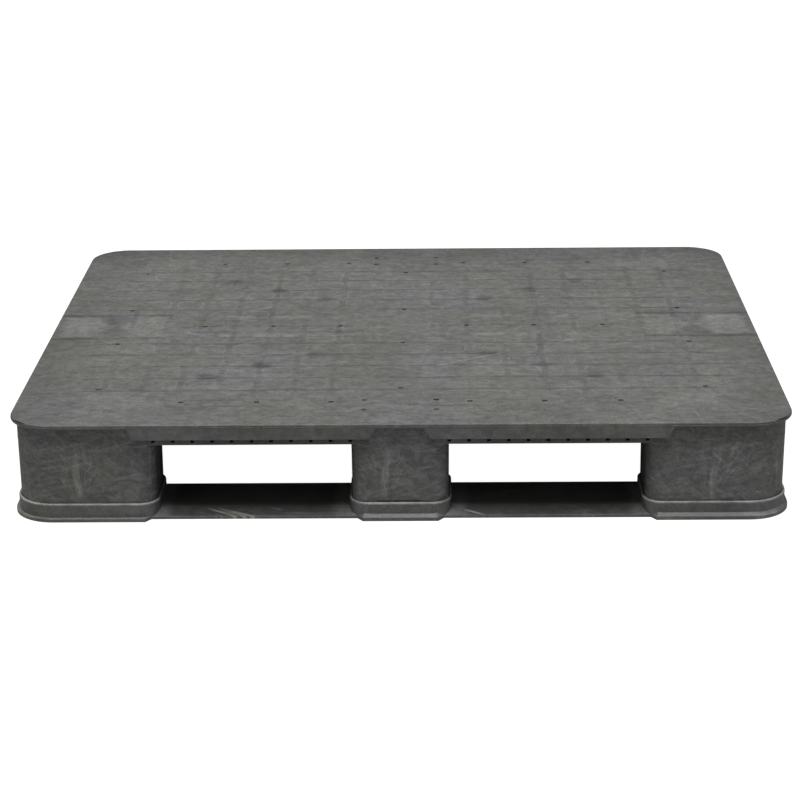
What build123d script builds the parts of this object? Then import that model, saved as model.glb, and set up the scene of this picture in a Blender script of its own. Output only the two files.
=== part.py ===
from build123d import *
import os

# Closed-deck plastic pallet, 1200 x 1000 mm, on nine leg blocks and three full-length runners.
#
# Frame: origin on the floor under the middle of the pallet, +X along the 1200 mm side, +Y along the
# 1000 mm side, +Z up. Everything is in millimetres. The deck is a ribbed top deck with a flat tray
# screwed up against its ribs. Each row of three leg blocks is screwed to one runner from below. The
# legs pass through cut-outs in the tray and end against the deck; nothing fastens them there.

# Overall size
LENGTH, WIDTH, HEIGHT = 1200.0, 1000.0, 158.0
CORNER_R = 66.0

# Top deck
LIP_T = 7.0                    # thickness of the rim that overhangs the legs
EDGE_ROUND, LIP_ROUND = 2.0, 1.5    # the rim's top and bottom edges
SKIN_T = 4.0                   # thickness of the closed top skin
SKIRT_T = 3.5                  # wall of the skirt over each fork opening
SKIRT_BOTTOM_Z = 133.5
SKIRT_LAPS = (0.0, 12.0)       # past a centre leg's flat face, at the skirt's bottom and top
SKIRT_END_LAPS = (5.0, 12.0)   # the same over an end leg's flat face
SKIRT_CORNER_R = 4.0
LEG_ROOM = 1.5                 # between the ribs and a leg
RIB_T = 3.0
LATTICE_INSET = 12.5           # from the deck's edge to the outermost rib
LIP_Z = HEIGHT - LIP_T
SKIN_Z = HEIGHT - SKIN_T

# Ribs stand at these distances from the middle, on both sides of it
RIB_PITCH = 60.0
RIB_X = [32.0] + [110.0 + RIB_PITCH * i for i in range(5)] + [402.0, 441.0, 480.0, 519.0, 558.0]
RIB_Y = [33.0] + [98.0 + RIB_PITCH * i for i in range(5)] + [396.0, 429.0, 462.0]

# Underside tray
TRAY_INSET = 5.0
TRAY_WALL_T = 3.4
TRAY_LEG_ROOM = 0.3            # between the tray and a leg
WALL_LAP = 25.0                # how far the tray's wall runs over a leg's rounded corner
TRAY_Z, TRAY_T = 124.0, 3.0
TRAY_TOP_Z = TRAY_Z + TRAY_T
DECK_GAP = 0.3                 # between the tray and the ribs above it
NOTCH_PITCH, NOTCH_W, NOTCH_H = 30.0, 5.5, 7.5
NOTCH_TOP_Z = SKIRT_BOTTOM_Z + 2.0
NOTCHES_LONG, NOTCHES_SHORT = 11, 9

# Leg blocks
LEG_INSET = 8.5                # from the deck's edge to a leg's outer face
LEG_R = 28.0                   # plan radius of a leg's corners
LEG_CORNER_R = CORNER_R - LEG_INSET
LEG_WALL, WEB_T = 4.5, 3.0
WEB_TOP_Z = TRAY_Z
LEG_DRAFT = 0.35               # degrees, narrower towards the floor
LEG_BOTTOM_Z = 8.0
FLARE_H, FLARE_ANGLE = 5.0, 40.0
END_LEG_X, CENTRE_LEG_X = 216.5, 150.0      # leg lengths along X
LEG_Y = 133.0                               # every leg's width along Y
END_X = LENGTH / 2 - LEG_INSET - END_LEG_X / 2
ROW_Y = WIDTH / 2 - LEG_INSET - LEG_Y / 2
PRY_SLOT_W, PRY_SLOT_H, PRY_SLOT_D = 70.0, 2.0, 2.6

# Runners
RUNNER_HALF = 75.0             # half of a runner's width
PLINTH_GROW, PLINTH_H = 3.5, 28.0
FLANGE_H, FLANGE_CHAMFER = 5.5, 5.0
FOOT_REACH = 15.0              # how far a foot's flange runs past its leg along X
FOOT_CUT_X, FOOT_CUT_Y = 32.0, 47.0
BOARD_SET_BACK = 12.0          # outer edge of a board behind the flange
BOARD_H, BOARD_EDGE_H, RAMP_L = 12.0, 4.5, 25.0
BOARD_LAP = 10.0               # how far a board runs under an end leg
BOARD_SKIN, BOARD_RIB_T = 4.0, 4.0
POCKET_ROWS = ((-46.0, -6.0), (-2.0, 38.0))
POCKETS_ALONG, POCKET_SET_BACK = 4, 6.0
PLINTH_ROUND = 1.6
SOCKET_GAP = 0.25
DRAIN_R = 9.0

# Screws
SCREW_R, SCREW_L = 3.0, 42.0
SCREW_HEAD_R, SCREW_HEAD_H, SCREW_RECESS = 6.0, 3.0, 1.2
SCREW_HOLE_R, BOSS_R, BOSS_TOP_Z = 3.1, 8.0, 58.0
SCREW_DY = 38.0
CENTRE_SCREW_DX, END_SCREW_DX = 42.0, 70.0
SCREW_TIP_L, HEX_R, HEX_DEPTH = 5.0, 2.6, 2.0
TRAY_SCREW_R, TRAY_SCREW_L, TRAY_HEAD_R, TRAY_HEAD_H = 2.0, 18.0, 4.0, 2.0
TRAY_TIP_L, TRAY_HEX_R, TRAY_HEX_DEPTH = 3.0, 1.6, 1.2
TRAY_BOSS_R, SCREW_FIT = 6.0, 0.2
TRAY_SCREW_X, TRAY_SCREW_Y = [140.0, 320.0], [128.0, 308.0]

# Gate marks in the top skin, as distances from the middle
GATE_R, GATE_DEPTH = 3.5, 1.0
GATES = [(480, 96), (480, 330), (0, 96), (0, 330), (56, 388), (56, 432)]
GATES += [(x, y) for x in (108, 224, 342) for y in (0, 395)]

TOUCH = 0.01                   # tolerance when picking vertices
PAST = 10.0                    # how far a cutting shape runs past what it cuts
UP = (Align.CENTER, Align.CENTER, Align.MIN)
DOWN = (Align.CENTER, Align.CENTER, Align.MAX)
COLUMNS = {"left": -END_X, "centre": 0.0, "right": END_X}
ROWS = {"front": -ROW_Y, "middle": 0.0, "rear": ROW_Y}


def block(x0, x1, y0, y1, z0, z1):
    """A box between two corners."""
    return Pos((x0 + x1) / 2, (y0 + y1) / 2, (z0 + z1) / 2) * Box(x1 - x0, y1 - y0, z1 - z0)


def rod(radius, height):
    """A cylinder that stands on the origin."""
    return Cylinder(radius, height, align=UP)


def rounded(inset):
    """The pallet's plan outline, moved inwards."""
    return RectangleRounded(LENGTH - 2 * inset, WIDTH - 2 * inset, CORNER_R - inset)


def leg_length(column):
    return CENTRE_LEG_X if column == "centre" else END_LEG_X


def is_corner(column, row):
    return column != "centre" and row != "middle"


def leg_outline(column, row, grow=0.0):
    """A leg's plan outline, moved outwards; the pallet's own corners have the large radius."""
    half_x, half_y = leg_length(column) / 2 + grow, LEG_Y / 2 + grow
    sx = -1 if column == "left" else 1
    sy = -1 if row == "front" else 1
    outline = Rectangle(2 * half_x, 2 * half_y)
    large = is_corner(column, row)
    small = [v for v in outline.vertices() if not (large and v.X * sx > 0 and v.Y * sy > 0)]
    outline = fillet(small, LEG_R + grow)
    if large:
        corner = [v for v in outline.vertices() if v.X * sx > half_x - TOUCH and v.Y * sy > half_y - TOUCH]
        outline = fillet(corner, LEG_CORNER_R + grow)
    return Pos(COLUMNS[column], ROWS[row], 0) * outline


def all_legs(grow):
    return [leg_outline(column, row, grow) for column in COLUMNS for row in ROWS]


def mirrored(values):
    """Each distance on both sides of the middle, in order."""
    return sorted({-v for v in values} | set(values))


def cell_lines(distances, edge):
    """Rib centre lines between the two outermost ones at +-edge."""
    return [-edge] + mirrored(distances) + [edge]


def pockets():
    """The spaces between the top deck's ribs; the four corner cells stay solid."""
    xs = cell_lines(RIB_X, LENGTH / 2 - LATTICE_INSET - RIB_T / 2)
    ys = cell_lines(RIB_Y, WIDTH / 2 - LATTICE_INSET - RIB_T / 2)
    last_i, last_j = len(xs) - 2, len(ys) - 2
    half = RIB_T / 2
    return [
        block(xs[i] + half, xs[i + 1] - half, ys[j] + half, ys[j + 1] - half, TRAY_Z, SKIN_Z)
        for i in range(last_i + 1)
        for j in range(last_j + 1)
        if not (i in (0, last_i) and j in (0, last_j))
    ]


def skirt(half, leg_face, end_face):
    """One skirt over a fork opening on the +Y side; it starts and ends in front of flat leg faces."""
    top, low = LIP_Z + LIP_ROUND, SKIRT_BOTTOM_Z
    points = [
        (leg_face - SKIRT_LAPS[1], top),
        (leg_face - SKIRT_LAPS[0], low),
        (end_face + SKIRT_END_LAPS[0], low),
        (end_face + SKIRT_END_LAPS[1], top),
    ]
    outline = make_face(Polyline(*points, close=True))
    outline = fillet(outline.vertices().group_by(Axis.Y)[0], SKIRT_CORNER_R)
    return Pos(0, half, 0) * extrude(Plane.XZ * outline, SKIRT_T)


def sides():
    """For each pair of sides: half the pallet, the edges of the fork opening, notches and turn."""
    return (
        (WIDTH / 2, CENTRE_LEG_X / 2, END_X - END_LEG_X / 2, NOTCHES_LONG, 0),
        (LENGTH / 2, LEG_Y / 2, ROW_Y - LEG_Y / 2, NOTCHES_SHORT, 90),
    )


def round_the_pallet(shapes, turn):
    """The shapes on a side and on the side across from it."""
    return [Rot(0, 0, angle) * shape for angle in (turn, turn + 180) for shape in shapes]


def all_skirts():
    """Two skirts on every side of the deck."""
    made = []
    for half, low, high, _, turn in sides():
        right = skirt(half, low - LEG_R, high + LEG_R)
        made += round_the_pallet([right, mirror(right, Plane.YZ)], turn)
    return made


def tray_screw_places():
    return [(x, y) for x in mirrored(TRAY_SCREW_X) for y in mirrored(TRAY_SCREW_Y)]


def top_deck():
    """Closed skin, rim and skirts, with a deep rib lattice that is open below and clears the legs."""
    low = TRAY_TOP_Z + DECK_GAP
    body = extrude(Pos(0, 0, LIP_Z) * rounded(0), LIP_T)
    body = fillet(body.edges().group_by(Axis.Z)[-1], EDGE_ROUND)
    body = fillet(body.edges().group_by(Axis.Z)[0], LIP_ROUND)
    core = extrude(Pos(0, 0, low) * rounded(LATTICE_INSET), LIP_Z - low)
    core -= [extrude(Pos(0, 0, TRAY_Z) * outline, LIP_Z - TRAY_Z) for outline in all_legs(LEG_ROOM)]
    body += core
    body -= pockets()
    body += [Pos(x, y, low) * rod(TRAY_BOSS_R, SKIN_Z - low) for x, y in tray_screw_places()]
    hole = rod(TRAY_SCREW_R + 0.05, TRAY_SCREW_L + 2)
    body -= [Pos(x, y, TRAY_Z) * hole for x, y in tray_screw_places()]
    dimple = Cone(GATE_R, GATE_R + GATE_DEPTH, GATE_DEPTH, align=DOWN)
    places = sorted({(sx * x, sy * y) for x, y in GATES for sx in (-1, 1) for sy in (-1, 1)})
    body -= [Pos(x, y, HEIGHT) * dimple for x, y in places]
    body += all_skirts()
    return body


def open_bands():
    """The bands outside the legs' outer faces, where the tray and its wall are left out."""
    made = []
    deep = LEG_INSET + LEG_R + PAST
    for half, low, high, _, turn in sides():
        middle_y = half + PAST - deep / 2
        near, far = low - WALL_LAP, high + WALL_LAP
        bands = [Pos(0, middle_y, 0) * Rectangle(2 * near, deep)]
        bands += [Pos(s * (far + LENGTH) / 2, middle_y, 0) * Rectangle(LENGTH - far, deep) for s in (-1, 1)]
        made += round_the_pallet(bands, turn)
    return made


def notches():
    """The small openings in the tray's wall, just under the skirts."""
    made = []
    for half, low, high, count, turn in sides():
        front, back = half, half - TRAY_INSET - TRAY_WALL_T - 1
        for i in range(count):
            along = (low + high) / 2 + (i - (count - 1) / 2) * NOTCH_PITCH
            pair = [
                block(x - NOTCH_W / 2, x + NOTCH_W / 2, back, front, NOTCH_TOP_Z - NOTCH_H, NOTCH_TOP_Z)
                for x in (-along, along)
            ]
            made += round_the_pallet(pair, turn)
    return made


def underside_tray():
    """Flat plate under the ribs, with an upstanding notched wall along every fork opening."""
    outline = rounded(TRAY_INSET)
    wall = outline - rounded(TRAY_INSET + TRAY_WALL_T)
    left_out = all_legs(TRAY_LEG_ROOM) + open_bands()
    body = extrude(Pos(0, 0, TRAY_Z) * (outline - left_out), TRAY_T)
    body += extrude(Pos(0, 0, TRAY_Z) * (wall - left_out), LIP_Z - TRAY_Z)
    body -= notches()
    sink = Cone(TRAY_HEAD_R + SCREW_FIT, TRAY_SCREW_R + SCREW_FIT, TRAY_HEAD_H + SCREW_FIT, align=UP)
    hole = Cylinder(TRAY_SCREW_R + SCREW_FIT, 3 * TRAY_T)
    body -= [Pos(x, y, TRAY_Z) * (sink + hole) for x, y in tray_screw_places()]
    return body


def screw_places(column, row):
    """The four screws that hold one leg down on its runner."""
    dx = CENTRE_SCREW_DX if column == "centre" else END_SCREW_DX
    cx, cy = COLUMNS[column], ROWS[row]
    return [(cx + sx * dx, cy + sy * SCREW_DY) for sx in (-1, 1) for sy in (-1, 1)]


def leg_inside(column, row):
    """Cross web and screw bosses, before they are trimmed to the inside of a leg."""
    cx, cy = COLUMNS[column], ROWS[row]
    half_x, half_y = leg_length(column) / 2, LEG_Y / 2
    inside = block(cx - half_x, cx + half_x, cy - WEB_T / 2, cy + WEB_T / 2, LEG_BOTTOM_Z, WEB_TOP_Z)
    inside += block(cx - WEB_T / 2, cx + WEB_T / 2, cy - half_y, cy + half_y, LEG_BOTTOM_Z, WEB_TOP_Z)
    boss = rod(BOSS_R, BOSS_TOP_Z - LEG_BOTTOM_Z)
    inside += [Pos(x, y, LEG_BOTTOM_Z) * boss for x, y in screw_places(column, row)]
    return inside


def pry_slot(column, row):
    """The narrow slot low on the outer face of a leg in the middle of a side, or None."""
    cx, cy, z = COLUMNS[column], ROWS[row], PLINTH_H + PRY_SLOT_H / 2
    if column == "centre" and row != "middle":
        face_y = (WIDTH / 2 - LEG_INSET) * (1 if row == "rear" else -1)
        return Pos(cx, face_y, z) * Box(PRY_SLOT_W, 2 * PRY_SLOT_D, PRY_SLOT_H)
    if row == "middle" and column != "centre":
        face_x = (LENGTH / 2 - LEG_INSET) * (1 if column == "right" else -1)
        return Pos(face_x, cy, z) * Box(2 * PRY_SLOT_D, PRY_SLOT_W, PRY_SLOT_H)
    return None


def leg_block(column, row):
    """A hollow leg, open at its top, with a cross web, four screw bosses."""
    height = LIP_Z - LEG_BOTTOM_Z
    top, flare_foot = Pos(0, 0, LIP_Z), Pos(0, 0, TRAY_Z - FLARE_H)
    body = extrude(top * leg_outline(column, row), -height, taper=LEG_DRAFT)
    flare = extrude(flare_foot * leg_outline(column, row, -0.2), FLARE_H, taper=-FLARE_ANGLE)
    body += flare & extrude(flare_foot * rounded(LEG_INSET), FLARE_H)
    hollow = extrude(top * leg_outline(column, row, -LEG_WALL), -(height - LEG_WALL), taper=LEG_DRAFT)
    body = (body - hollow) + (leg_inside(column, row) & hollow)
    hole = rod(SCREW_HOLE_R, SCREW_L + 4)
    body -= [Pos(x, y, LEG_BOTTOM_Z - 1) * hole for x, y in screw_places(column, row)]
    slot = pry_slot(column, row)
    return body - slot if slot else body


def foot_flange(column, row):
    """Plan outline of the thin flange round one foot, with its ends cut back towards the boards."""
    inner = leg_length(column) / 2 + FOOT_REACH
    low, high = RUNNER_HALF - FOOT_CUT_Y, RUNNER_HALF
    if column == "centre":
        points = [(-inner, -low), (FOOT_CUT_X - inner, -high), (inner - FOOT_CUT_X, -high), (inner, -low),
                  (inner, low), (inner - FOOT_CUT_X, high), (FOOT_CUT_X - inner, high), (-inner, low)]
        return Pos(0, ROWS[row], 0) * make_face(Polyline(*points, close=True))
    s = -1 if column == "left" else 1
    outer = LENGTH / 2 - END_X
    points = [(-inner, -low), (FOOT_CUT_X - inner, -high), (outer, -high),
              (outer, high), (FOOT_CUT_X - inner, high), (-inner, low)]
    outline = make_face(Polyline(*[(s * x, y) for x, y in points], close=True))
    far_side = 1 if row == "rear" else -1
    corner = [v for v in outline.vertices() if v.X * s > outer - 1 and v.Y * far_side > 0]
    outline = fillet(corner, CORNER_R if row != "middle" else LEG_R + LEG_INSET)
    other = [v for v in outline.vertices() if v.X * s > outer - 1 and v.Y * far_side < -high + 1]
    outline = fillet(other, LEG_R + LEG_INSET)
    return Pos(COLUMNS[column], ROWS[row], 0) * outline


def board_profile(row):
    """Cross-section of a runner's board, ramped on both long edges for pallet-truck wheels."""
    back = 0.0 if row == "middle" else BOARD_SET_BACK
    low, high = -RUNNER_HALF + back, RUNNER_HALF
    points = [(low, 0), (low, BOARD_EDGE_H), (low + RAMP_L, BOARD_H), (high - RAMP_L, BOARD_H),
              (high, BOARD_EDGE_H + 0.5), (high, 0)]
    return make_face(Polyline(*points, close=True))


def board_pockets():
    """Hollows in the boards' undersides, in two rows."""
    low = CENTRE_LEG_X / 2 + FOOT_REACH + POCKET_SET_BACK
    high = END_X - END_LEG_X / 2 - FOOT_REACH - POCKET_SET_BACK
    pitch = (high - low) / POCKETS_ALONG
    half = (pitch - BOARD_RIB_T) / 2
    middles = [s * (low + pitch * (i + 0.5)) for i in range(POCKETS_ALONG) for s in (-1, 1)]
    top = BOARD_H - BOARD_SKIN
    return [block(x - half, x + half, y0, y1, -1, top) for x in middles for y0, y1 in POCKET_ROWS]


def foot(column, row):
    """The flange round one foot and the plinth above it."""
    flange = foot_flange(column, row)
    plinth = extrude(leg_outline(column, row, PLINTH_GROW), PLINTH_H)
    plinth = fillet(plinth.edges().group_by(Axis.Z)[-1], PLINTH_ROUND)
    slope = extrude(Pos(0, 0, FLANGE_H) * flange, FLANGE_CHAMFER, taper=45)
    return [extrude(flange, FLANGE_H), slope, plinth]


def foot_hollows(column, row):
    """The socket that takes the leg, the screw holes and the drain hole."""
    head = rod(SCREW_HEAD_R + 0.5, SCREW_RECESS + SCREW_HEAD_H)
    shank = rod(SCREW_HOLE_R + SCREW_FIT, LEG_BOTTOM_Z)
    hollows = [extrude(Pos(0, 0, LEG_BOTTOM_Z) * leg_outline(column, row, SOCKET_GAP), PLINTH_H)]
    hollows += [Pos(x, y, 0) * (head + shank) for x, y in screw_places(column, row)]
    return hollows + [Pos(COLUMNS[column], ROWS[row], 0) * Cylinder(DRAIN_R, 3 * LEG_BOTTOM_Z)]


def runner(row):
    """Three socketed feet joined by two ramped boards that are ribbed below."""
    board = extrude(Plane.YZ * board_profile(row), END_X - END_LEG_X / 2 + BOARD_LAP, both=True)
    board -= board_pockets()
    body = Pos(0, ROWS[row], 0) * Rot(0, 0, 180 if row == "rear" else 0) * board
    for column in COLUMNS:
        body += foot(column, row)
    for column in COLUMNS:
        body -= foot_hollows(column, row)
    return body


def leg_screw():
    """Washer-head screw that stands on its head, with a hexagon recess below and a pointed tip."""
    straight = SCREW_L - SCREW_TIP_L
    body = Pos(0, 0, SCREW_RECESS) * rod(SCREW_HEAD_R, SCREW_HEAD_H)
    body += Pos(0, 0, SCREW_RECESS + SCREW_HEAD_H) * rod(SCREW_R, straight)
    tip = Cone(SCREW_R, SCREW_R / 5, SCREW_TIP_L, align=UP)
    body += Pos(0, 0, SCREW_RECESS + SCREW_HEAD_H + straight) * tip
    return body - Pos(0, 0, SCREW_RECESS) * extrude(RegularPolygon(HEX_R, 6), HEX_DEPTH)


def tray_screw():
    """Countersunk screw, flush with the tray's underside."""
    straight = TRAY_SCREW_L - TRAY_HEAD_H - TRAY_TIP_L
    body = Cone(TRAY_HEAD_R, TRAY_SCREW_R, TRAY_HEAD_H, align=UP)
    body += Pos(0, 0, TRAY_HEAD_H) * rod(TRAY_SCREW_R, straight)
    body += Pos(0, 0, TRAY_HEAD_H + straight) * Cone(TRAY_SCREW_R, TRAY_SCREW_R / 5, TRAY_TIP_L, align=UP)
    body -= extrude(RegularPolygon(TRAY_HEX_R, 6), TRAY_HEX_DEPTH)
    return Pos(0, 0, TRAY_Z + SCREW_FIT) * body


def save(name, shape):
    export_step(shape, f"parts/{name}.step")
    print(name, len(shape.solids()), "solids,", round(shape.volume / 1000), "cm3")


def group(solids):
    """Several separate solids as one node."""
    return Compound(children=[s.solid() for s in solids])


def main():
    os.makedirs("parts", exist_ok=True)
    save("top_deck", top_deck())
    save("underside_tray", underside_tray())
    for row in ROWS:
        for column in COLUMNS:
            save(f"leg_{row}_{column}", leg_block(column, row))
        save(f"runner_{row}", runner(row))
        places = [place for column in COLUMNS for place in screw_places(column, row)]
        save(f"runner_screws_{row}", group(Pos(x, y, 0) * leg_screw() for x, y in places))
    save("tray_screws", group(Pos(x, y, 0) * tray_screw() for x, y in tray_screw_places()))


main()
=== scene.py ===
"""Looks of the closed-deck plastic pallet: mottled plastic, flow marks, wear, stage, light and camera."""

from math import cos, pi, radians, sin

import bpy
from mathutils import Matrix, Vector


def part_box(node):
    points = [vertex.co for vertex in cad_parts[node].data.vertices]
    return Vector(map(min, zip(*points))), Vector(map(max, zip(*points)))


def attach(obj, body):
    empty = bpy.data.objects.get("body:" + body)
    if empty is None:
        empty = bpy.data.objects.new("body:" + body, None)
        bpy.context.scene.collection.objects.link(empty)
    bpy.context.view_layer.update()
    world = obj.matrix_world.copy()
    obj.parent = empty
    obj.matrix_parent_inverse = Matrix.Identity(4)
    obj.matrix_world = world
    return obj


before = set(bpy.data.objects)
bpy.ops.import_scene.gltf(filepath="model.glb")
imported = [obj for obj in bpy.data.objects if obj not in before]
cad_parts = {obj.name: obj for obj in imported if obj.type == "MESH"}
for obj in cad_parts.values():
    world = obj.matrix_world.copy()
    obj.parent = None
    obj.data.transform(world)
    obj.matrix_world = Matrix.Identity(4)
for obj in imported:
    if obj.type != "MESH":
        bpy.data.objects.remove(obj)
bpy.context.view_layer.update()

# Metres throughout. The deck's and the plinths' heights come from the CAD boxes.
HALF_L, HALF_W, DECK_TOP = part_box("top_deck")[1]
RIM_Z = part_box("runner_front")[1][2] - 0.0010
CORNER_R = 0.066
ROWS = ("front", "middle", "rear")
COLUMNS = ("left", "centre", "right")

# Where the deck's marks lie, as distances from the middle
RIB_PITCH = 0.060
FIRST_RIB_X, FIRST_RIB_Y = 0.110, 0.098
ROW_BAND = 0.070
TIE_X = 0.497
OUTER_ROW_Y, OUTER_ROW_HALF = 0.403, 0.036
CELL_RING = 0.0235

# The boards between a runner's feet: middle and half length along X, and a height just above them
BOARD_MIDDLE, BOARD_HALF = 0.229, 0.118
BOARD_TOP = 0.0125

PARTING_DROP, PARTING_R = 0.0045, 0.00035

PLASTIC = (0.140, 0.140, 0.135)
# Brightness of each part's copy of the one plastic: painted shade for the tray under the deck and for the
# runners, painted light for the legs.
TRAY_PAINTED_SHADE, RUNNER_PAINTED_SHADE, LEG_PAINTED_LIGHT = 0.78, 0.95, 1.0

CAMERA_PLACE = Vector((0.056, -3.643, 1.295))
CAMERA_PITCH, CAMERA_YAW, CAMERA_ROLL = radians(19.26), radians(-1.0), radians(-0.63)
CAMERA_LENS = 99.68

KEY_STRENGTH = 3.0
SHADE_INSET = 0.020
KEY_SPREAD, KEY_TILT_X, KEY_TILT_Y = radians(28), radians(9), radians(-3)
FLOOR_BOUNCE, HORIZON_GLOW, SKY_GLOW = 0.98, 0.10, 0.45
HORIZON_FROM, HORIZON_TO = 0.46, 0.60


class Nodes:
    """Short calls for building a material's node tree."""

    def __init__(self, name):
        self.material = bpy.data.materials.new(name)
        self.material.use_nodes = True
        self.tree = self.material.node_tree
        self.shader = self.tree.nodes["Principled BSDF"]
        place = self.tree.nodes.new("ShaderNodeTexCoord")
        self.place = place.outputs["Object"]
        split = self.tree.nodes.new("ShaderNodeSeparateXYZ")
        self.link(self.place, split.inputs[0])
        self.x, self.y, self.z = split.outputs

    def link(self, output, socket):
        self.tree.links.new(output, socket)

    def feed(self, value, socket):
        if isinstance(value, (int, float, tuple)):
            socket.default_value = value
        else:
            self.link(value, socket)

    def math(self, operation, a, b=0.0, c=0.0):
        node = self.tree.nodes.new("ShaderNodeMath")
        node.operation = operation
        for value, socket in zip((a, b, c), node.inputs):
            self.feed(value, socket)
        return node.outputs[0]

    def noise(self, scale, detail=4.0, stretch=(1, 1, 1), distortion=0.0, vector=None):
        """Noise about 0.5; stretch multiplies the coordinates, so a small number draws it out."""
        mapping = self.tree.nodes.new("ShaderNodeMapping")
        mapping.inputs["Scale"].default_value = stretch
        self.link(vector or self.place, mapping.inputs["Vector"])
        node = self.tree.nodes.new("ShaderNodeTexNoise")
        node.inputs["Scale"].default_value = scale
        node.inputs["Detail"].default_value = detail
        node.inputs["Distortion"].default_value = distortion
        self.link(mapping.outputs[0], node.inputs["Vector"])
        return node.outputs["Fac"]

    def smooth(self, value, low, high, out_low=0.0, out_high=1.0):
        """value from low to high becomes out_low to out_high, with an eased slope."""
        node = self.tree.nodes.new("ShaderNodeMapRange")
        node.interpolation_type = "SMOOTHSTEP"
        for number, socket in zip((low, high, out_low, out_high), list(node.inputs)[1:5]):
            socket.default_value = number
        self.link(value, node.inputs[0])
        return node.outputs[0]

    def times(self, a, b):
        return self.math("MULTIPLY", a, b)

    def plus(self, a, b):
        return self.math("ADD", a, b)

    def disc(self, u, v, centre, radius, soft):
        """1 inside a disc on the (u, v) plane and 0 outside it."""
        du = self.math("SUBTRACT", u, centre[0])
        dv = self.math("SUBTRACT", v, centre[1])
        far = self.math("SQRT", self.plus(self.times(du, du), self.times(dv, dv)))
        return self.smooth(far, radius, radius + soft, 1.0, 0.0)

    def band(self, value, middle, half, soft):
        """1 where value is within half of middle, 0 beyond."""
        off = self.math("ABSOLUTE", self.math("SUBTRACT", value, middle))
        return self.smooth(off, half, half + soft, 1.0, 0.0)


def edge_wear_and_highlight(n, width):
    """How close a point is to a sharp edge, from 0 to 1, and the normal rounded over that edge."""
    bevel = n.tree.nodes.new("ShaderNodeBevel")
    bevel.samples = 6
    bevel.inputs["Radius"].default_value = width
    geometry = n.tree.nodes.new("ShaderNodeNewGeometry")
    dot = n.tree.nodes.new("ShaderNodeVectorMath")
    dot.operation = "DOT_PRODUCT"
    n.link(bevel.outputs[0], dot.inputs[0])
    n.link(geometry.outputs["Normal"], dot.inputs[1])
    return n.smooth(dot.outputs["Value"], 0.80, 0.995, 1.0, 0.0), bevel.outputs[0]


def tinted(n, base, tone):
    """The base colour times tone, wandering between a warm and a cool grey."""
    wander = n.times(n.noise(7, 5, distortion=0.8), 0.65)
    wander = n.plus(wander, n.times(n.noise(210, 2), 0.35))
    mix = n.tree.nodes.new("ShaderNodeMix")
    mix.data_type = "RGBA"
    warm, cool = (1.015, 1.01, 0.965), (0.975, 0.985, 1.015)
    mix.inputs[6].default_value = tuple(c * t for c, t in zip(base, warm)) + (1,)
    mix.inputs[7].default_value = tuple(c * t for c, t in zip(base, cool)) + (1,)
    n.link(n.smooth(wander, 0.38, 0.62), mix.inputs[0])
    colour = n.tree.nodes.new("ShaderNodeVectorMath")
    colour.operation = "SCALE"
    n.link(mix.outputs[2], colour.inputs[0])
    n.link(tone, colour.inputs["Scale"])
    return colour.outputs[0]


def hairs(n, scale, turn, spread=0.35):
    """Fine hair-like streaks that lie near one direction, as chopped fibres and flow leave them."""
    rotate = n.tree.nodes.new("ShaderNodeVectorRotate")
    rotate.rotation_type = "Y_AXIS"
    rotate.inputs["Angle"].default_value = turn
    n.link(n.place, rotate.inputs["Vector"])
    lines = n.noise(scale, 3, stretch=(0.12, 1.0, 1.0), distortion=spread, vector=rotate.outputs[0])
    return n.smooth(lines, 0.56, 0.74)


def finish_plastic(n, tone, base, relief, rough=0.56, wear_and_highlight_gain=0.75):
    """Gives the shader its colour (base times tone, brightened at edges as wear and as painted highlight),
    roughness and bump.
    """
    grain = n.noise(650, 2)
    mottle = n.noise(70, 5, distortion=0.8)
    cloud = n.noise(6, 5, distortion=0.5)
    tone = n.times(tone, n.smooth(grain, 0.30, 0.70, 0.78, 1.22))
    tone = n.times(tone, n.smooth(mottle, 0.30, 0.70, 0.86, 1.14))
    tone = n.times(tone, n.smooth(cloud, 0.30, 0.70, 0.92, 1.08))
    # Edges brightened: partly wear, partly painted highlight.
    wear_and_highlight, round_normal = edge_wear_and_highlight(n, 0.0016)
    patch = n.smooth(n.noise(45, 5), 0.35, 0.65, 0.25, 1.0)
    tone = n.plus(tone, n.times(n.times(wear_and_highlight, patch), wear_and_highlight_gain))
    n.link(tinted(n, base, tone), n.shader.inputs["Base Color"])
    n.link(n.smooth(mottle, 0.25, 0.75, rough - 0.08, rough + 0.10), n.shader.inputs["Roughness"])
    n.shader.inputs["Specular IOR Level"].default_value = 0.34
    height = n.plus(n.times(grain, 0.35), n.times(mottle, 0.65))
    height = n.plus(height, relief) if relief is not None else height
    bump = n.tree.nodes.new("ShaderNodeBump")
    bump.inputs["Strength"].default_value = 0.45
    bump.inputs["Distance"].default_value = 0.0006
    n.link(height, bump.inputs["Height"])
    n.link(round_normal, bump.inputs["Normal"])
    n.link(bump.outputs[0], n.shader.inputs["Normal"])
    return n.material


def rib_lines(n, along, first, width):
    """Lines at the rib pitch, as a mask."""
    past = n.math("SUBTRACT", along, first)
    near = n.math("PINGPONG", past, RIB_PITCH / 2)
    line = n.smooth(near, width / 6, width, 1.0, 0.0)
    return n.times(line, n.smooth(along, first - 0.02, first - 0.01))


def cell_arcs(n, ax, ay):
    """Thin pale outlines inside the cells between ribs, where the plastic met as it set."""
    half = RIB_PITCH / 2
    du = n.math("SUBTRACT", half, n.math("PINGPONG", n.math("SUBTRACT", ax, FIRST_RIB_X), half))
    dv = n.math("SUBTRACT", half, n.math("PINGPONG", n.math("SUBTRACT", ay, FIRST_RIB_Y), half))
    far = n.math("POWER", n.plus(n.math("POWER", du, 3.0), n.math("POWER", dv, 3.0)), 1 / 3)
    ring = n.band(far, CELL_RING, 0.0005, 0.0024)
    return n.times(ring, n.smooth(n.noise(15, 4, distortion=0.6), 0.46, 0.60))


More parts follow.
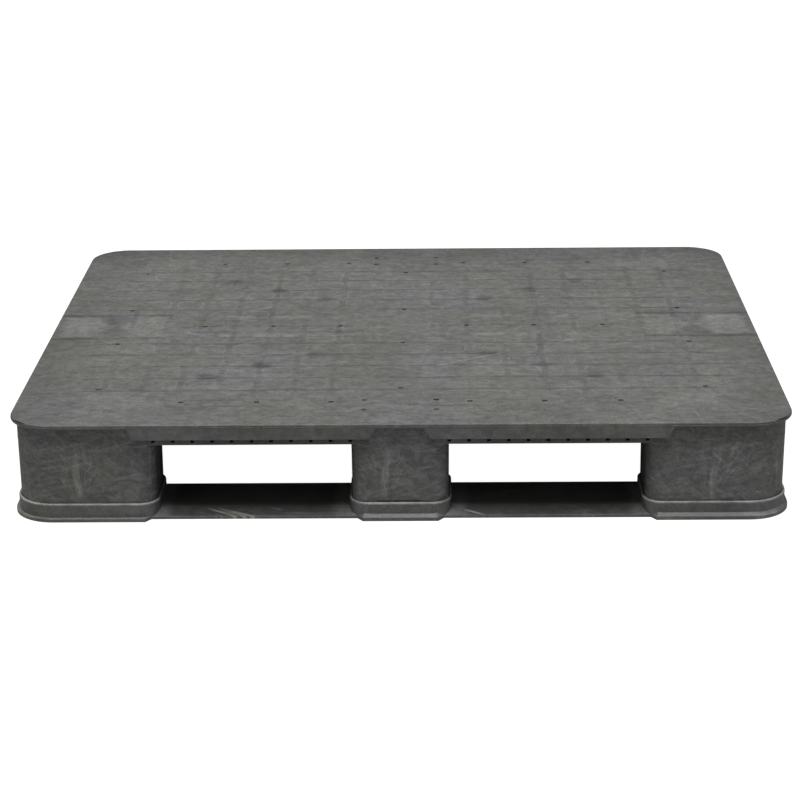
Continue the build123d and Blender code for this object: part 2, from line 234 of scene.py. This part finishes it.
def rib_marks(n, ax, ay, patchy):
    """Faint dark lines over the ribs: one grid in the fields and closer lines over the rows of legs."""
    across = n.times(rib_lines(n, ax, FIRST_RIB_X, 0.0085), 0.55)
    along = n.times(rib_lines(n, ay, FIRST_RIB_Y, 0.0055), n.smooth(n.noise(6, 3), 0.36, 0.52, 0.35, 1.0))
    inner = n.times(n.smooth(ax, 0.500, 0.530, 1.0, 0.0), n.smooth(ay, 0.345, 0.370, 1.0, 0.0))
    ribs = n.times(n.math("MAXIMUM", n.times(across, patchy), along), inner)
    outer_row = n.band(ay, OUTER_ROW_Y, OUTER_ROW_HALF, 0.012)
    rows = n.math("MAXIMUM", n.smooth(ay, 0.058, ROW_BAND, 1.0, 0.0), outer_row)
    close = n.smooth(n.math("PINGPONG", ay, 0.016), 0.001, 0.005, 1.0, 0.0)
    close = n.times(n.times(close, rows), n.times(patchy, n.band(ax, 0.205, 0.150, 0.02)))
    return ribs, close


def leg_marks(n, ax, ay):
    """Pale and dark shapes in the skin over the outer legs, and the lines along their sides."""
    tie = n.math("SUBTRACT", ay, n.times(n.math("ABSOLUTE", n.math("SUBTRACT", ax, TIE_X)), 1.9))
    area = n.times(n.band(ax, TIE_X, 0.075, 0.020), n.smooth(ay, 0.050, 0.060, 1.0, 0.0))
    pale = n.times(n.smooth(tie, -0.030, -0.004, 1.0, 0.0), area)
    dark = n.times(n.smooth(tie, -0.012, 0.010), area)
    outer = n.times(n.band(ax, 0.556, 0.024, 0.012), n.smooth(ay, 0.048, 0.060, 1.0, 0.0))
    corner = n.times(n.smooth(ax, 0.488, 0.492, 1.0, 0.0), n.band(ay, 0.396, 0.028, 0.005))
    corner = n.times(corner, n.smooth(ax, 0.392, 0.400))
    seam = n.times(n.band(ay, 0.066, 0.002, 0.006), n.smooth(ax, 0.39, 0.42))
    return n.plus(pale, outer), dark, corner, seam


def corner_rays(n, ax, ay):
    """Pale rays that spread from each corner leg towards the pallet's corner."""
    angle = n.math("ARCTAN2", n.math("SUBTRACT", ay, 0.36), n.math("SUBTRACT", ax, 0.44))
    vector = n.tree.nodes.new("ShaderNodeCombineXYZ")
    n.link(angle, vector.inputs[0])
    rays = n.smooth(n.noise(13, 3, vector=vector.outputs[0]), 0.50, 0.68)
    return n.times(n.times(rays, n.disc(ax, ay, (0.500, 0.420), 0.045, 0.090)), n.noise(50, 4))


def dark_blobs(n, ax, ay):
    """Round dark marks in a slanting line on each quarter of the deck."""
    blobs = None
    for i in range(3):
        centre = (0.142 + 0.085 * i, 0.158 + 0.056 * i)
        blob = n.disc(ax, ay, centre, 0.008, 0.014)
        blobs = blob if blobs is None else n.math("MAXIMUM", blobs, blob)
    return blobs


def rim_painted_shade(n):
    """Painted shade: how much darker the deck is made towards its sides and, most of all, along its rear
    edge.
    """
    sides = n.times(n.smooth(n.math("ABSOLUTE", n.x), 0.46, 0.60), 0.16)
    far_edge = n.times(n.smooth(n.y, 0.34, 0.50), 0.24)
    return n.plus(sides, far_edge)


def gate_dot_shade(n):
    """Painted shade inside the sunk gate marks."""
    sunk = n.band(n.z, DECK_TOP - 0.0007, 0.0005, 0.0001)
    inboard = n.times(n.smooth(n.math("ABSOLUTE", n.x), 0.585, 0.590, 1.0, 0.0),
                      n.smooth(n.math("ABSOLUTE", n.y), 0.485, 0.490, 1.0, 0.0))
    return n.times(sunk, inboard)


def deck_material():
    """The large closed skin: faint marks of what is under it, flow fronts, blobs and cloudy streaks, with
    painted shade towards its sides and rear edge and inside the sunk gate marks.
    """
    n = Nodes("deck_plastic")
    wobble = n.times(n.math("SUBTRACT", n.noise(9, 2), 0.5), 0.012)
    ax = n.math("ABSOLUTE", n.plus(n.x, wobble))
    ay = n.math("ABSOLUTE", n.plus(n.y, wobble))
    on_top = n.smooth(n.z, DECK_TOP - 0.003, DECK_TOP - 0.001)
    patchy = n.smooth(n.noise(8, 5), 0.36, 0.62, 0.10, 1.0)
    ribs, close = rib_marks(n, ax, ay, patchy)
    pale, dark, corner, seam = leg_marks(n, ax, ay)
    spread = n.times(n.smooth(ax, 0.48, 0.56, 1.0, 0.0), n.smooth(ay, 0.34, 0.38, 1.0, 0.0))
    arcs = n.times(cell_arcs(n, ax, ay), spread)
    diamond = n.plus(ax, n.times(ay, 1.7))
    front = n.times(n.band(diamond, 0.43, 0.001, 0.008), n.smooth(n.noise(12, 3), 0.52, 0.62))
    middle_bars = n.times(n.band(ay, 0.053, 0.004, 0.007), n.band(ax, 0.225, 0.100, 0.03))
    middle_bars = n.times(middle_bars, n.smooth(n.noise(24, 3), 0.45, 0.60))
    rough_patches = n.smooth(n.noise(80, 7, stretch=(0.4, 1.4, 1)), 0.52, 0.62)
    rough_front = n.times(n.smooth(n.y, -0.34, -0.40), rough_patches)
    streaks = n.noise(13, 7, stretch=(0.75, 1.7, 1.0), distortion=1.3)
    fine_streaks = n.noise(120, 4, stretch=(0.35, 1.4, 1.0), distortion=0.6)
    tone = n.smooth(streaks, 0.30, 0.70, 0.90, 1.10)
    tone = n.times(tone, n.smooth(fine_streaks, 0.30, 0.70, 0.92, 1.08))
    # Painted shade: the deck darkened towards its sides and rear edge.
    tone = n.times(tone, n.math("SUBTRACT", 0.94, rim_painted_shade(n)))
    marks = n.times(ribs, -0.24)
    for mask, amount in (
        (close, -0.20), (arcs, 0.17), (pale, 0.16), (dark, -0.12), (corner, 0.12), (seam, -0.26),
        (dark_blobs(n, ax, ay), -0.24), (front, 0.34), (middle_bars, 0.30),
        (corner_rays(n, ax, ay), 0.30), (rough_front, -0.10),
    ):
        marks = n.plus(marks, n.times(mask, amount))
    tone = n.plus(tone, n.times(marks, on_top))
    # Painted shade: the insides of the sunk gate marks darkened.
    tone = n.plus(tone, n.times(gate_dot_shade(n), -0.75))
    relief = n.times(n.times(ribs, on_top), -0.8)
    return finish_plastic(n, tone, PLASTIC, relief, wear_and_highlight_gain=0.35)


def leg_material(node, apex_shift, lean):
    """Flow marks that fan upwards from low on each face, as molten plastic left them."""
    low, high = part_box(node)
    n = Nodes(f"{node}_plastic")
    geometry = n.tree.nodes.new("ShaderNodeNewGeometry")
    facing = n.tree.nodes.new("ShaderNodeSeparateXYZ")
    n.link(geometry.outputs["Normal"], facing.inputs[0])
    on_end = n.smooth(n.math("ABSOLUTE", facing.outputs[0]), 0.55, 0.85)
    across_x = n.math("SUBTRACT", n.x, (low[0] + high[0]) / 2 + apex_shift)
    across_y = n.math("SUBTRACT", n.y, (low[1] + high[1]) / 2)
    across = n.plus(n.times(across_x, n.math("SUBTRACT", 1.0, on_end)), n.times(across_y, on_end))
    up = n.math("SUBTRACT", n.z, low[2] + 0.026)
    wobble = n.times(n.math("SUBTRACT", n.noise(24, 3), 0.5), 0.35)
    angle = n.plus(n.math("ARCTAN2", across, n.plus(up, 0.012)), wobble)
    angle = n.math("SUBTRACT", angle, n.times(n.times(up, lean), 4.0))
    angle_vector = n.tree.nodes.new("ShaderNodeCombineXYZ")
    n.link(angle, angle_vector.inputs[0])
    n.link(n.times(up, 1.6), angle_vector.inputs[1])
    rays = n.smooth(n.noise(12, 5, vector=angle_vector.outputs[0]), 0.46, 0.70)
    narrow = n.smooth(n.math("ABSOLUTE", angle), 0.05, 0.75, 1.0, 0.0)
    fade = n.times(n.smooth(up, -0.010, 0.010), n.smooth(up, 0.045, 0.105, 1.0, 0.0))
    fan = n.times(n.times(rays, narrow), fade)
    spine = n.times(n.smooth(n.math("ABSOLUTE", angle), 0.0, 0.16, 1.0, 0.0), fade)
    swirl = n.noise(30, 7, stretch=(1.0, 1.0, 2.0), distortion=2.4)
    tone = n.smooth(swirl, 0.30, 0.70, 0.78, 1.18)
    hair = n.plus(hairs(n, 160, radians(12)), hairs(n, 190, radians(-38)))
    tone = n.plus(tone, n.times(hair, 0.34))
    tone = n.plus(tone, n.plus(n.times(fan, 0.85), n.times(n.times(spine, n.noise(45, 4)), 0.90)))
    base = tuple(c * LEG_PAINTED_LIGHT for c in PLASTIC)
    return finish_plastic(n, tone, base, n.times(swirl, 0.3), rough=0.52)


def runner_material(row):
    """Scuffs where fork wheels and floors rub: along the low edges and on the board ramps; with painted
    shade on the board tops and painted highlights along the boards' low edges and round the plinths' rim.
    """
    n = Nodes(f"runner_{row}_plastic")
    low_down = n.smooth(n.z, 0.006, 0.014, 1.0, 0.0)
    streak = n.noise(22, 8, stretch=(0.35, 3.0, 3.0), distortion=1.0)
    scuffs = n.times(n.smooth(streak, 0.55, 0.72), low_down)
    chalk_clouds = n.smooth(n.noise(9, 6, stretch=(0.6, 2, 2)), 0.56, 0.70)
    chalk = n.times(chalk_clouds, n.smooth(n.noise(70, 6), 0.45, 0.65))
    tone = n.smooth(n.noise(16, 5, stretch=(0.5, 1, 2)), 0.3, 0.7, 0.86, 1.14)
    between_feet = n.band(n.math("ABSOLUTE", n.x), BOARD_MIDDLE, BOARD_HALF, 0.020)
    board = n.times(n.smooth(n.z, BOARD_TOP, BOARD_TOP + 0.0005, 1.0, 0.0), between_feet)
    # Mask for a painted highlight: the lowest few millimetres of the boards.
    edge = n.smooth(n.z, 0.0035, 0.0055, 1.0, 0.0)
    # Painted shade: the board tops between the feet darkened, as they lie under the deck.
    tone = n.times(tone, n.math("SUBTRACT", 1.0, n.times(board, 0.52)))
    slanted = n.plus(n.x, n.times(n.y, 2.4))
    slant = n.tree.nodes.new("ShaderNodeCombineXYZ")
    n.link(slanted, slant.inputs[0])
    n.link(n.times(n.y, 0.25), slant.inputs[1])
    scratches = n.smooth(n.noise(60, 5, vector=slant.outputs[0]), 0.55, 0.62)
    scratches = n.times(n.times(scratches, board), n.smooth(n.noise(9, 3), 0.46, 0.58))
    scratches = n.times(scratches, n.smooth(n.z, 0.0100, 0.0115, 1.0, 0.0))
    # Painted highlight along the boards' low edges between the feet.
    tone = n.plus(tone, n.times(n.times(edge, between_feet), 0.55))
    tone = n.plus(tone, n.times(scratches, 1.70))
    # Painted highlight round the plinths' rim, broken up by noise.
    rim = n.times(n.band(n.z, RIM_Z, 0.0012, 0.0010), n.smooth(n.noise(30, 5), 0.35, 0.60, 0.5, 1.0))
    tone = n.plus(tone, n.plus(n.times(scuffs, 0.60), n.times(chalk, 0.22)))
    tone = n.plus(tone, n.times(rim, 1.30))
    base = tuple(c * RUNNER_PAINTED_SHADE for c in PLASTIC)
    return finish_plastic(n, tone, base, None, rough=0.46, wear_and_highlight_gain=1.1)


def tray_material():
    """Plate in painted shade, a darker copy of the plastic, with streaks across it."""
    n = Nodes("tray_plastic")
    tone = n.smooth(n.noise(15, 6, stretch=(0.4, 3, 1)), 0.3, 0.7, 0.84, 1.14)
    return finish_plastic(n, tone, tuple(c * TRAY_PAINTED_SHADE for c in PLASTIC), None, rough=0.60)


def steel_material(name, base, rough, streak):
    """Zinc-coated steel with a spangle and drawn streaks."""
    n = Nodes(name)
    spangle = n.noise(240, 3)
    drawn = n.noise(60, 5, stretch=streak)
    tone = n.times(n.smooth(spangle, 0.3, 0.7, 0.86, 1.12), n.smooth(drawn, 0.3, 0.7, 0.90, 1.08))
    colour = n.tree.nodes.new("ShaderNodeVectorMath")
    colour.operation = "SCALE"
    colour.inputs[0].default_value = base
    n.link(tone, colour.inputs["Scale"])
    n.link(colour.outputs[0], n.shader.inputs["Base Color"])
    n.shader.inputs["Metallic"].default_value = 1.0
    n.link(n.smooth(drawn, 0.3, 0.7, rough - 0.08, rough + 0.12), n.shader.inputs["Roughness"])
    bump = n.tree.nodes.new("ShaderNodeBump")
    bump.inputs["Strength"].default_value = 0.2
    bump.inputs["Distance"].default_value = 0.0002
    n.link(drawn, bump.inputs["Height"])
    n.link(bump.outputs[0], n.shader.inputs["Normal"])
    return n.material


def dress(node, material):
    """A CAD node keeps its shape and gets this material."""
    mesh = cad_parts[node].data
    mesh.materials.clear()
    mesh.materials.append(material)


def dress_all():
    dress("top_deck", deck_material())
    dress("underside_tray", tray_material())
    apexes = {"left": (-0.010, -0.25), "centre": (-0.022, 0.05), "right": (-0.005, 0.35)}
    for row in ROWS:
        dress(f"runner_{row}", runner_material(row))
        for column in COLUMNS:
            node = f"leg_{row}_{column}"
            dress(node, leg_material(node, *apexes[column]))
    screw = steel_material("zinc_screw", (0.62, 0.61, 0.56), 0.34, (1, 1, 6))
    for row in ROWS:
        dress(f"runner_screws_{row}", screw)
    dress("tray_screws", screw)


def rounded_path(half_x, half_y, radius, steps=14):
    """Points round a rounded rectangle."""
    points = []
    for quarter, (sx, sy) in enumerate(((1, 1), (-1, 1), (-1, -1), (1, -1))):
        cx, cy = sx * (half_x - radius), sy * (half_y - radius)
        for i in range(steps + 1):
            turn = (quarter + i / steps) * pi / 2
            points.append((cx + radius * cos(turn), cy + radius * sin(turn)))
    return points


def bead(name, points, z, radius):
    """A thin closed bead of moulding flash."""
    curve = bpy.data.curves.new(name, "CURVE")
    curve.dimensions = "3D"
    curve.bevel_depth = radius
    curve.bevel_resolution = 2
    spline = curve.splines.new("POLY")
    spline.points.add(len(points) - 1)
    for point, (x, y) in zip(spline.points, points):
        point.co = (x, y, z, 1.0)
    spline.use_cyclic_u = True
    piece = bpy.data.objects.new(name, curve)
    bpy.context.collection.objects.link(piece)
    return piece


def rim_flash():
    """The parting line of the two mould halves, part-way up the deck's rim."""
    points = rounded_path(HALF_L - 0.0001, HALF_W - 0.0001, CORNER_R)
    piece = bead("deck_parting_line", points, DECK_TOP - PARTING_DROP, PARTING_R)
    n = Nodes("parting_line_plastic")
    tone = n.smooth(n.noise(40, 4), 0.3, 0.7, 0.9, 1.25)
    piece.data.materials.append(finish_plastic(n, tone, PLASTIC, None))
    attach(piece, "root")


def sky(world):
    """Dim at the horizon, brighter above, and brightest below, where it stands in for a white floor."""
    tree = world.node_tree
    place = tree.nodes.new("ShaderNodeTexCoord")
    split = tree.nodes.new("ShaderNodeSeparateXYZ")
    ramp = tree.nodes.new("ShaderNodeValToRGB")
    half = tree.nodes.new("ShaderNodeMath")
    half.operation = "MULTIPLY_ADD"
    half.inputs[1].default_value = 0.5
    half.inputs[2].default_value = 0.5
    tree.links.new(place.outputs["Generated"], split.inputs[0])
    tree.links.new(split.outputs[2], half.inputs[0])
    tree.links.new(half.outputs[0], ramp.inputs[0])
    tree.links.new(ramp.outputs[0], tree.nodes["Background"].inputs["Color"])
    first, last = ramp.color_ramp.elements
    first.position, first.color = 0.0, (FLOOR_BOUNCE, FLOOR_BOUNCE, FLOOR_BOUNCE, 1)
    last.position, last.color = 1.0, (SKY_GLOW, SKY_GLOW, SKY_GLOW, 1)
    for at in (HORIZON_FROM, HORIZON_TO):
        ramp.color_ramp.elements.new(at).color = (HORIZON_GLOW, HORIZON_GLOW, HORIZON_GLOW, 1)


def shade_card():
    """The floor in the pallet's own shadow: it keeps the light from below out of the fork openings."""
    bpy.ops.mesh.primitive_plane_add(size=2, location=(0, 0, -0.0004))
    card = bpy.context.object
    card.name = "shade_card"
    card.scale = (HALF_L - SHADE_INSET, HALF_W - SHADE_INSET, 1)
    card.visible_camera = False
    material = bpy.data.materials.new("shaded_floor")
    material.use_nodes = True
    shader = material.node_tree.nodes["Principled BSDF"]
    shader.inputs["Base Color"].default_value = (0.05, 0.05, 0.05, 1)
    shader.inputs["Roughness"].default_value = 1.0
    shader.inputs["Specular IOR Level"].default_value = 0.0
    card.data.materials.append(material)


def stage():
    """A floor that glows for the camera only, the shade card, the studio sky and a soft key from above."""
    bpy.ops.mesh.primitive_plane_add(size=80, location=(0, 0, -0.0006))
    floor = bpy.context.object
    floor.name = "floor"
    floor.visible_diffuse = False
    floor.visible_glossy = False
    material = bpy.data.materials.new("pale_floor")
    material.use_nodes = True
    shader = material.node_tree.nodes["Principled BSDF"]
    shader.inputs["Base Color"].default_value = (0.12, 0.12, 0.12, 1)
    shader.inputs["Roughness"].default_value = 0.9
    shader.inputs["Specular IOR Level"].default_value = 0.0
    shader.inputs["Emission Color"].default_value = (1, 1, 1, 1)
    shader.inputs["Emission Strength"].default_value = 1.00
    floor.data.materials.append(material)
    shade_card()
    world = bpy.data.worlds.new("studio")
    world.use_nodes = True
    sky(world)
    bpy.context.scene.world = world
    key = bpy.data.lights.new("soft_key", "SUN")
    key.energy = KEY_STRENGTH
    key.angle = KEY_SPREAD
    lamp = bpy.data.objects.new("soft_key", key)
    lamp.rotation_euler = (KEY_TILT_X, KEY_TILT_Y, 0)
    bpy.context.collection.objects.link(lamp)


def camera():
    """Stands in front of a long side, a little to the right and well above."""
    pitch, yaw, roll = CAMERA_PITCH, CAMERA_YAW, CAMERA_ROLL
    forward = Vector((sin(yaw) * cos(pitch), cos(yaw) * cos(pitch), -sin(pitch)))
    right = Vector((cos(yaw), -sin(yaw), 0))
    up = right.cross(forward)
    across = cos(roll) * right + sin(roll) * up
    upright = cos(roll) * up - sin(roll) * right
    data = bpy.data.cameras.new("camera")
    data.sensor_width = 36
    data.lens = CAMERA_LENS
    data.clip_end = 100
    eye = bpy.data.objects.new("camera", data)
    turn = Matrix((across, upright, -forward)).transposed()
    eye.matrix_world = Matrix.Translation(CAMERA_PLACE) @ turn.to_4x4()
    bpy.context.collection.objects.link(eye)
    bpy.context.scene.camera = eye


dress_all()
rim_flash()
stage()
camera()
bpy.context.scene.view_settings.view_transform = "Standard"
